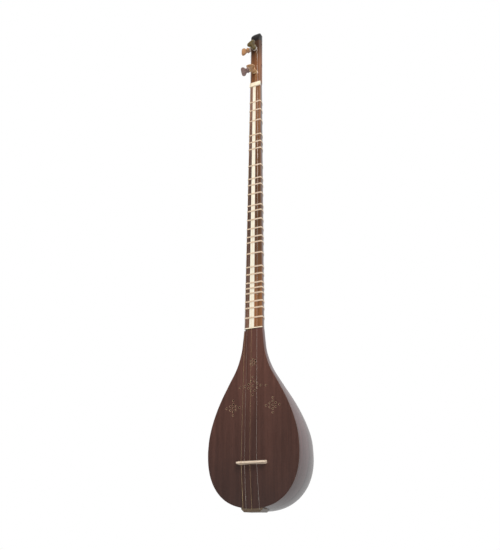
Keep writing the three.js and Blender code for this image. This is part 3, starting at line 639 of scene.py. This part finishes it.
def cut_soundboard():
    """The flat face with its holes."""
    bm = bmesh.new()
    rim = ops.create_circle(bm, radius=1, segments=2 * outline_steps)["verts"]
    for i, corner in enumerate(rim):
        right = i <= outline_steps
        z = station_height(2 * (i if right else 2 * outline_steps - i) / outline_steps)
        corner.co = at(half_width(z) if right else -half_width(z), 0, z)
    upright = Matrix.Rotation(pi / 2, 3, "X")
    for x, z in hole_centres:
        hole = ops.create_circle(bm, radius=hole_radius * MM, segments=hole_steps)["verts"]
        ops.rotate(bm, matrix=upright, verts=hole)
        ops.translate(bm, vec=at(x, 0, z), verts=hole)
    ops.triangle_fill(bm, use_beauty=True, edges=bm.edges, normal=(0, -1, 0))
    ops.translate(bm, vec=(0, board_thickness * MM, 0), verts=second_side(bm, bm.faces[:]))
    ops.recalc_face_normals(bm, faces=bm.faces)
    centres = [at(x, 0, z) for x, z in hole_centres]

    def to_nearest_hole(point):
        return min(hypot(point.x - c.x, point.z - c.z) for c in centres)

    rims, outline = [], []
    for edge in bm.edges:
        middle = (edge.verts[0].co + edge.verts[1].co) / 2
        if edge.calc_face_angle(0) > radians(50):
            at_hole = to_nearest_hole(middle) < 1.2 * hole_radius * MM
            rims += [edge] if at_hole and middle.y < at(0, 1, 0).y else []
            outline += [] if at_hole else [edge]
    ease_edges(bm, rims, countersink)
    ease_edges(bm, outline, outline_ease)
    # A hole's wall stands square to the face, and its countersunk rim leans.
    for face in bm.faces:
        near = to_nearest_hole(face.calc_center_median())
        if abs(face.normal.y) < 0.97 and near < 1.8 * hole_radius * MM:
            face.material_index = 1 if abs(face.normal.y) < 0.15 else 2
    return bm


soundboard = add_piece("soundboard_drilled", cut_soundboard(), face_mulberry, "soundboard")
soundboard.data.materials.append(burnt_edge)
soundboard.data.materials.append(pale_rim)

# %% [markdown]
# ## The neck and the head
# The neck is carved from one stick: flat in front, half round behind, and tapered from the bowl to the
# nut. The head goes on from it, with its front corners planed off. Both are tubes of the same kind, a
# section that is bent round and drawn along. The pegs' tapered holes are then cut with a Boolean, the
# way a maker reams them in the carved head.

# %% Sections of the neck and the head


def neck_size(z):
    """The neck's half width and its depth at a height. Both grow evenly from the nut to the bowl."""
    ends = (neck_half_at_nut, neck_half_at_bowl), (neck_depth_at_nut, neck_depth_at_bowl)
    from_bowl, whole = z - bowl_top, string_length - bowl_top
    return [at_bowl + (at_nut - at_bowl) * from_bowl / whole for at_nut, at_bowl in ends]


def half_ellipse(turn, half, front, depth):
    """A point of the rounded back, which goes from right to left in half a turn."""
    return half * cos(turn), front + (depth - front) * sin(turn)


def neck_section(u, z):
    """The neck's section: a rounded back, and in the last quarter of u a flat front."""
    half, depth = neck_size(z)
    if u <= 0.75:
        return half_ellipse(pi * u / 0.75, half, strip_thickness, depth)
    return -half + 2 * half * (u - 0.75) / 0.25, strip_thickness


def head_section(u, z):
    """The head's section: a rounded back, and in the last 0.3 of u a front with planed corners."""
    if u <= 0.7:
        return half_ellipse(pi * u / 0.7, head_half, head_chamfer, head_depth)
    edge = head_half - head_chamfer
    corners = [(-head_half, head_chamfer), (-edge, 0), (edge, 0), (head_half, head_chamfer)]
    share = (u - 0.7) / 0.1
    k = min(int(share), 2)
    (x0, y0), (x1, y1) = corners[k], corners[k + 1]
    return x0 + (x1 - x0) * (share - k), y0 + (y1 - y0) * (share - k)


def drawn_along(section, start, end, around, along):
    """A tube whose section is drawn from one height to another."""

    def place(u, v):
        z = start + (end - start) * v
        x, y = section(u, z)
        return at(x, y, z)

    return bent_grid(around, along, place, closed=True)


print("neck half width at the nut:", neck_section(0, string_length)[0])

# %% Carve the neck


def as_drawn(item):
    """An object as Blender draws it, with its modifiers."""
    bpy.context.view_layer.update()
    return item.evaluated_get(bpy.context.evaluated_depsgraph_get())


def combined(name, bm, others, operation):
    """The shape after a Boolean with each of the other shapes, as a new bmesh."""
    temporary = [put_shape(name + "_blank", shape) for shape in (bm, *others)]
    for other in temporary[1:]:
        step = temporary[0].modifiers.new(other.name, "BOOLEAN")
        step.operation = operation
        step.solver = "EXACT"
        step.object = other
    result = bmesh.new()
    result.from_mesh(as_drawn(temporary[0]).to_mesh())
    for item in temporary:
        mesh = item.data
        bpy.data.objects.remove(item)
        bpy.data.meshes.remove(mesh)
    return result


neck_glue_gap = 0.25
tenon_width, tenon_depth, tenon_length = 10, 9, 30
tenon_behind, tenon_reach = 12, 24
neck_shape = drawn_along(neck_section, bowl_top + neck_glue_gap, head_start, 64, 24)
tenon = bmesh.new()
ops.create_cube(tenon, size=1)
ops.scale(tenon, vec=Vector((tenon_width, tenon_depth, tenon_length)) * MM, verts=tenon.verts)
tenon_place = at(0, tenon_behind, bowl_top - tenon_reach + tenon_length / 2)
ops.translate(tenon, vec=tenon_place, verts=tenon.verts)
add_piece("neck_carved", combined("neck", neck_shape, [tenon], "UNION"), neck_walnut, "neck")

# %% [markdown]
# ## Plain glued pieces
# The fingerboard's strips, the bone line at the foot of the neck, the tailpiece and the blocks inside
# have their final form in CAD already. A CAD mesh is loose triangles with knife-sharp edges, though,
# and real edges are sanded and catch the light. So each visible one is copied, merged into whole faces,
# and eased by a tenth of a millimetre or so.

# %% Ease the edges of the plain pieces


def eased_copy(name, node, width, finish):
    """A copy of a CAD piece, merged into whole faces and with its edges rounded."""
    bm = bmesh.new()
    bm.from_mesh(frame["nodes"][node].data)
    whole_faces(bm, 0.001, 2)
    round_edges(bm, width, over=30)
    add_piece(name, bm, finish, node)


eased_copy("bone_centre_strip", "fingerboard_bone_strip", 0.05, bone)
eased_copy("left_walnut_strip", "fingerboard_left_strip", 0.12, dark_strip)
eased_copy("right_walnut_strip", "fingerboard_right_strip", 0.12, warm_strip)
eased_copy("joint_bone_line", "joint_inlay", 0.12, cross_bone)
eased_copy("tailpiece_filed", "tailpiece", 0.4, tail_wood)
for block in ("neck_block", "tail_block"):
    materials = frame["nodes"][block].data.materials
    materials.clear()
    materials.append(raw_block)

# %% [markdown]
# ## The pegs
# A setar peg is turned on a lathe: a long tapered shaft, a bead, and then a thumb leaf that is sawn and
# filed flat. Its section changes from a circle to a flat oval, so the peg is one tube whose width and
# thickness follow two profiles.

# %% The four courses
# up is the peg's height above the nut, reach its shaft's length, leaf its turn in degrees and wire a
# radius. nut, bridge and tail say how far across the wire lies on each.
Course = namedtuple("Course", "side up across reach leaf wire nut bridge tail metal peg_wood")
courses = [
    Course("front", 84, 0.0, 20, 30, 0.1, 6.6, 10.8, 12.0, steel_wire, peg_wood_painted_shade),
    Course("front", 32, -0.5, 20, -10, 0.1, 0.0, 0.0, 0.0, brass_wire, tan_peg),
    Course("left", top_peg_up, 0.0, 19.4, 0, 0.1, -5.0, -8.6, -9.0, steel_wire, pale_peg),
    Course("left", 48, 0.0, 19.4, -32, 0.18, -7.4, -13.8, -13.8, brass_wire, plum_peg),
]
side_peg_behind = 7.5
thin_end, thick_end = 3.1, 4.2
bead_along, taper_length = 10, 31.8


def peg_frame(course):
    """Where a peg stands, in millimetres of the drawing: its own +Z is the way that it points."""
    height = string_length + course.up
    if course.side == "front":
        place, axes = (course.across, 0, height), ((1, 0, 0), (0, 0, -1), (0, 1, 0))
    else:
        place, axes = (-head_half, side_peg_behind, height), ((0, 0, -1), (0, 1, 0), (1, 0, 0))
    return Matrix.Translation(place) @ Matrix(axes).to_4x4()


def shaft_radius(along):
    """The shaft's radius, which tapers from the bead to the longest shaft's end."""
    return thin_end + (thick_end - thin_end) * (along + taper_length - bead_along) / taper_length


print("shaft radius at the face:", round(shaft_radius(0), 2), "mm")

# %% Turn the pegs
peg_around, steps_between = 48, 4


def peg_profile(reach):
    """Along the peg: place, half width, half thickness, and how square the oval is."""
    tip, bead = shaft_radius(-reach), shaft_radius(7.2)
    shaft = [(0.0, 0.02), (0.0, tip - 2.2), (0.0, tip - 0.9), (0.3, tip - 0.25), (1.0, tip)]
    rounds = [(-reach + along, radius) for along, radius in shaft]
    rounds += [(7.2, bead), (7.4, 4.3), (7.7, 4.85), (8.2, 5.15), (8.7, 5.2), (9.2, 5.1), (9.7, 4.7)]
    leaf = [
        (10.0, 4.2, 4.1, 2.0), (10.6, 3.95, 3.6, 2.0), (11.6, 4.15, 3.05, 2.1), (12.7, 4.95, 2.6, 2.3),
        (13.8, 5.95, 2.35, 2.5), (15.0, 7.1, 2.25, 2.6), (16.0, 7.95, 2.25, 2.6), (17.2, 8.3, 2.35, 2.6),
        (18.6, 8.25, 2.45, 2.6), (19.8, 7.9, 2.45, 2.6), (20.8, 7.2, 2.25, 2.6), (21.4, 6.3, 1.85, 2.5),
        (21.8, 5.0, 1.25, 2.4), (21.98, 3.2, 0.5, 2.2), (22.0, 0.02, 0.02, 2.0),
    ]
    return [(along, radius, radius, 2.0) for along, radius in rounds] + leaf


def turn_peg(course, number):
    """A peg in its place, with its leaf turned as the player left it."""
    turned = peg_frame(course) @ Matrix.Rotation(radians(course.leaf), 4, "Z")
    profile = peg_profile(course.reach)
    steps = len(profile) - 1

    def place(u, v):
        share = v * steps
        k = min(int(share + 1e-6), steps - 1)
        p = share - k
        along, wide, thick, square = (a + (b - a) * p for a, b in zip(profile[k], profile[k + 1]))
        c, s = cos(2 * pi * u), sin(2 * pi * u)
        x = wide * copysign(abs(c) ** (2 / square), c)
        y = thick * copysign(abs(s) ** (2 / square), s)
        return at(*(turned @ Vector((x, y, along))))

    bm = bent_grid(peg_around, steps * steps_between, place, closed=True)
    add_piece(f"peg_{number}_turned", bm, course.peg_wood, f"peg_{number}")


for number, course in enumerate(courses, 1):
    turn_peg(course, number)

# %% Carve the head and ream its holes
reamer_start, reamer_end, reamer_room = -28, 6, 0.15


def reamer_for(course):
    """A tapered cutter, a little wider than the peg's shaft, where the peg goes."""
    cutter = bmesh.new()
    thin, thick = [(shaft_radius(along) + reamer_room) * MM for along in (reamer_start, reamer_end)]
    depth = (reamer_end - reamer_start) * MM
    ops.create_cone(cutter, cap_ends=True, segments=40, radius1=thin, radius2=thick, depth=depth)
    stand, middle = peg_frame(course), Vector((0, 0, (reamer_start + reamer_end) / 2))
    for corner in cutter.verts:
        corner.co = at(*(stand @ (corner.co / MM + middle)))
    ops.recalc_face_normals(cutter, faces=cutter.faces)
    return cutter


head_shape = drawn_along(head_section, head_start, cap_start, 70, 30)
head_shape = combined("head", head_shape, [reamer_for(course) for course in courses], "DIFFERENCE")
add_piece("head_carved", head_shape, head_walnut, "head")

# %% [markdown]
# ## The head's cap
# A dark cap finishes the head. From the side it rises to a crest and rolls over backwards, and from the
# front it is a tall round arch. So it is what three simple shapes have in common: the head's own section
# drawn up, and a prism of each outline.

# %% The head's dark cap
cap_front_rise, crest_behind, shoulder_drop, arch_rise = 4.5, 10, 5, 14
curve_steps, arch_steps = 16, 40
past = 2


def bend(start, corner, end, steps):
    """Points of a curve that leaves start towards the corner and comes to end from it."""
    shares = [k / steps for k in range(steps + 1)]
    return [start * (1 - t) ** 2 + corner * 2 * t * (1 - t) + end * t * t for t in shares]


def prism(corners, pull):
    """A flat outline of points of the drawing, pulled out into a block."""
    bm = bmesh.new()
    outline = bm.faces.new([bm.verts.new(at(*corner)) for corner in corners])
    ops.translate(bm, vec=Vector(pull) * MM, verts=second_side(bm, [outline]))
    ops.recalc_face_normals(bm, faces=bm.faces)
    return bm


def on_side(y, z):
    """A corner of the side outline, which lies a little past the head's left side."""
    return Vector((-head_half - past, y, z))


front_foot, crest = on_side(0, cap_start + cap_front_rise), on_side(crest_behind, head_top)
shoulder = on_side(head_depth, head_top - shoulder_drop)
side_outline = [on_side(-past, cap_start - past)]
side_outline += bend(front_foot, on_side(crest_behind / 2, head_top), crest, curve_steps)
side_outline += bend(crest, on_side(head_depth, head_top), shoulder, curve_steps)[1:]
side_outline += [on_side(head_depth + past, cap_start - past)]
arch = [pi * k / arch_steps for k in range(arch_steps + 1)]
front_outline = [
    (head_half * cos(turn), -past, head_top - arch_rise + arch_rise * sin(turn)) for turn in arch
]
front_outline += [(side * (head_half + past), -past, cap_start - past) for side in (-1, 1)]
cap_shape = drawn_along(head_section, cap_start, head_top + past, 70, 12)
cap_side = prism(side_outline, (2 * (head_half + past), 0, 0))
cap_front = prism(front_outline, (0, head_depth + 2 * past, 0))
cap_shape = combined("cap", cap_shape, [cap_side, cap_front], "INTERSECT")
whole_faces(cap_shape, 0.03, 1.5)
round_edges(cap_shape, 0.7, over=28, segments=3)
add_piece("head_cap_rounded", cap_shape, ebony, "head_cap")

# %% [markdown]
# ## Nut and bridge
# Both are filed from a bar and stand across the strings. The nut is a wedge that falls away to the
# head. The bridge is a low arch on two feet, thinner at the top, with rounded ends. A file leaves one
# fine notch for each string, as deep as the wire is thick, so the crowns stand above the wires'
# undersides. The notches are cut last, with thin rods.

# %% A file for the notches
wire_over, notch_room = 0.1, 0.06


def notched(name, bm, height, low, high):
    """The bar after a thin round file has cut a notch for each wire, from one height to another."""
    files = []
    for course in courses:
        file, radius = bmesh.new(), (course.wire + notch_room) * MM
        size = {"radius1": radius, "radius2": radius, "depth": (high - low) * MM}
        ops.create_cone(file, cap_ends=True, segments=12, **size)
        middle = at(getattr(course, name), -height - wire_over - course.wire, (low + high) / 2)
        ops.translate(file, vec=middle, verts=file.verts)
        files.append(file)
    return combined(name, bm, files, "DIFFERENCE")


print("notch radii:", [round(course.wire + notch_room, 2) for course in courses], "mm")

# %% File the nut
nut_crown, crown_over = 1.6, 0.3


def file_nut():
    """The nut: a bar with a narrow crown, drawn across the neck."""
    crown = nut_height + crown_over
    profile = [
        (strip_thickness, 0), (-crown + 0.3, 0), (-crown, 0.35), (-crown, nut_crown - 0.3),
        (-crown + 0.35, nut_crown + 0.2), (-0.4, nut_length), (strip_thickness, nut_length),
    ]
    bm = prism([(-neck_half_at_nut, y, string_length + z) for y, z in profile], (2 * neck_half_at_nut, 0, 0))
    round_edges(bm, 0.15, over=20)
    return notched("nut", bm, nut_height, string_length - 4, string_length + 6)


add_piece("nut_notched", file_nut(), cross_bone, "nut")

# %% File the bridge
bridge_half_length, bridge_height, bridge_crown, bridge_foot = 23.8, 8.0, 8.3, 14.8
arch_height, end_length, end_fall = 1.4, 2.6, 4.6
thick_at_foot, thick_at_top, end_thinning = 5.4, 2.2, 0.45


def file_bridge():
    """The bridge: an arched bar on two feet."""

    def place(u, v):
        x = bridge_half_length * (2 * u - 1)
        under = arch_height * max(1 - (x / bridge_foot) ** 2, 0)
        end = max(abs(x) - (bridge_half_length - end_length), 0) / end_length
        top = bridge_crown - end_fall * (1 - sqrt(max(1 - end * end, 0)))
        up = under + (top - under) * v
        thick = thick_at_foot + (thick_at_top - thick_at_foot) * up / bridge_height
        return at(x, -up, thick * (1 - end_thinning * end * end) / 2)

    bm = bent_grid(72, 10, place)
    for corner in second_side(bm, bm.faces[:]):
        corner.co.z = 2 * at(0, 0, 0).z - corner.co.z
    ops.recalc_face_normals(bm, faces=bm.faces)
    round_edges(bm, 0.35, over=50, segments=3)
    return notched("bridge", bm, bridge_height, -4, 4)


add_piece("bridge_notched", file_bridge(), bridge_bone, "bridge")

# %% [markdown]
# ## Wire and gut as tubes
# A string is a wire, and the simplest true model of one is a curve with a round section. Every wire and
# every gut strand here is made so, and then turned into a mesh. Sharp bends are eased first, because
# hard steel never turns a corner on the spot.

# %% A helper for wire and gut
bend_steps = 5


def eased_path(points, reach):
    """The path with each corner replaced by a short bend, reach millimetres long on both sides."""
    path = [points[0]]
    for before, corner, after in zip(points, points[1:], points[2:]):
        ways = before - corner, after - corner
        into, out = [corner + way.normalized() * min(reach, way.length / 2.1) for way in ways]
        path += bend(into, corner, out, bend_steps)
    return path + [points[-1]]


def strand(name, paths, radius, finish, stands_for):
    """A round strand along one or more paths, in millimetres of the drawing."""
    curve = bpy.data.curves.new(name, "CURVE")
    curve.dimensions = "3D"
    curve.bevel_depth = radius * MM
    curve.bevel_resolution = 1
    curve.use_fill_caps = True
    for path in paths:
        line = curve.splines.new("POLY")
        line.points.add(len(path) - 1)
        for point, place in zip(line.points, path):
            point.co = (*at(*place), 1)
    drawn = put_in_scene(name + "_path", curve)
    bm = bmesh.new()
    bm.from_mesh(as_drawn(drawn).to_mesh())
    bpy.data.objects.remove(drawn)
    bpy.data.curves.remove(curve)
    ops.remove_doubles(bm, verts=bm.verts, dist=0.0001 * MM)
    add_piece(name, bm, finish, stands_for)


print("strand helper ready")

# %% [markdown]
# ## Strings and the turns on the pegs
# Each wire leaves its peg on the line that just touches the winding, crosses the nut and the bridge in
# its notches, and is hooked into the tailpiece below. On the peg it lies in close layers. The string
# begins exactly where it leaves the outer layer, so it still meets the winding when the peg turns.
# Above the tailpiece, the wire's end is twisted back round the string.

# %% The wound layers and the twisted end
winding_start, turn_steps = 2.2, 20
thin_wire_turns, thick_wire_turns = (5, 9, 12), (5, 9)


def wound_path(stand, wire, leave, outer):
    """The wire's path on a peg, in layers from the outer one inwards. Its first turn starts at leave."""
    layers = thin_wire_turns if wire < 0.15 else thick_wire_turns
    last = len(layers) - 1
    pitch = 2.15 * wire
    path = []
    start, turns_before = winding_start, 0
    for layer, turns in enumerate(layers):
        way = -1 if layer % 2 else 1
        for k in range(turns * turn_steps + (layer == last)):
            t = k / turn_steps
            along = start + way * t * pitch
            inner = shaft_radius(along) + wire + 0.02
            radius = outer + (inner - outer) * layer / last
            angle = leave + 2 * pi * (turns_before + t)
            path.append(stand @ Vector((radius * cos(angle), radius * sin(angle), along)))
        start += way * turns * pitch
        turns_before += turns
    return path


def twisted_end(start, end, wire):
    """Eight open turns round the string, between two shares of its way from the bridge to the tail."""
    along = (end - start).normalized()
    sideways = along.cross(Vector((0, 1, 0))).normalized()
    upward = along.cross(sideways)
    turns, steps, first_share, share_in_turn = 8, 12, 0.72, 0.014
    path = []
    for k in range(turns * steps + 1):
        t = k / steps
        angle = 2 * pi * t
        centre = start + (end - start) * (first_share + share_in_turn * t)
        path.append(centre + (sideways * cos(angle) + upward * sin(angle)) * 2.0 * wire)
    return path


print("turns on a thin wire's peg:", sum(thin_wire_turns))

# %% Wind and stretch the strings
hook_up, hook_depth, face_room = 3, 7.4, 0.25


def wind_and_stretch(course, number):
    """The layers of wire on a peg, and the string that leaves them."""
    wire, metal = course.wire, course.metal
    stand = peg_frame(course)
    outer = thick_end + 0.25 + wire
    nut_side = -nut_height - wire_over - wire
    on_nut = Vector((course.nut, nut_side, string_length + nut_crown))
    target = stand.inverted() @ on_nut
    leave = atan2(target.y, target.x) + acos(outer / hypot(target.x, target.y))
    winding = wound_path(stand, wire, leave, outer)
    strand(f"winding_{number}_wire", [winding], wire, metal, f"peg_winding_{number}")
    hook_height, near_face, tail = hook_up - foot_below_bridge, -face_room - wire, course.tail
    places = [
        (course.nut, nut_side, string_length),
        (course.bridge, -bridge_height - wire_over - wire, 0),
        (tail, near_face, -face_below_bridge),
        (tail, near_face, hook_height),
        (tail, hook_depth, hook_height),
    ]
    route = [winding[0], on_nut] + [Vector(place) for place in places]
    twist = twisted_end(route[3], route[4], wire)
    strand(f"string_{number}_wire", [eased_path(route, 0.7), twist], wire, metal, f"string_{number}")
    return lengths_along(route)[-1]


for number, course in enumerate(courses, 1):
    print(f"string {number}: {wind_and_stretch(course, number):.0f} mm from peg to tailpiece")

# %% [markdown]
# ## The tied frets
# A setar's frets are gut, wound three or four times round the neck and tied at the side, so that the
# player can slide them. Each turn follows the neck's own section: flat over the fingerboard, over the
# planed corners, and round the back, where it climbs to the next turn. The knot sits behind the bass
# edge with two short tails.

# %% The path of one turn of gut
gut_radius, gut_turns, gut_room = 0.29, 4, 0.15
back_steps = 20


def gut_ring(z):
    """Points of one turn of gut round the neck, from the front left corner, with its climb behind."""
    half, depth = neck_size(z)
    off = gut_radius + gut_room
    corner = off * tan(pi / 8)
    front = strip_thickness
    flat, side = half - front + corner, half + off
    ring = [(-flat, -off, 0), (flat, -off, 0), (side, front - corner, 0)]
    for k in range(1, back_steps):
        turn = pi * k / back_steps
        climb = max((k - back_steps / 2) / (back_steps / 2), 0)
        ring.append((*half_ellipse(turn, side, front, depth + off), climb))
    return ring + [(-side, front - corner, 1)]


print("points in a turn:", len(gut_ring(string_length)))

# %% Tie the frets
# A fret's cents say how high above the open string it sounds: 1200 make an octave.
fret_cents = [
    90, 140, 204, 294, 340, 385, 498, 590, 636, 702, 792, 835, 906,
    980, 1050, 1100, 1200, 1330, 1404, 1494, 1551, 1608, 1702, 1780, last_fret_cents,
]
knot_size, knot_thickness, knot_steps = 0.39, 0.32, 40
knot_beside, knot_behind = 0.9, 5.5
upper_tail = (0, 0.2, 0.8), (-0.2, 1.4, 2.0), (-0.1, 2.6, 2.6)
lower_tail = (0, 0.2, -0.8), (-0.3, 1.5, -1.7), (-0.1, 2.9, -1.9)


def tie_fret(cents, number):
    """One fret: turns of gut side by side, and its knot, a trefoil with two tails."""
    middle = string_length * 2 ** (-cents / 1200)
    pitch = 2 * gut_radius + 0.03
    path = []
    for turn in range(gut_turns):
        z = middle + pitch * (turn - gut_turns / 2)
        path += [Vector((x, y, z + pitch * climb)) for x, y, climb in gut_ring(middle)]
    knot_centre = Vector((-neck_size(middle)[0] - gut_radius - knot_beside, knot_behind, middle))
    knot = []
    for k in range(knot_steps + 1):
        t = 2 * pi * k / knot_steps
        back = knot_size * (sin(t) + 2 * sin(2 * t))
        up = knot_size * (cos(t) - 2 * cos(2 * t))
        knot.append(knot_centre + Vector((knot_thickness * sin(3 * t), back, up)))
    tails = [[knot_centre + Vector(step) for step in tail] for tail in (upper_tail, lower_tail)]
    node = f"fret_{number:02d}"
    strand(node + "_gut", [eased_path(path, 0.25), knot, *tails], gut_radius, gut, node)


for number, cents in enumerate(fret_cents, 1):
    tie_fret(cents, number)
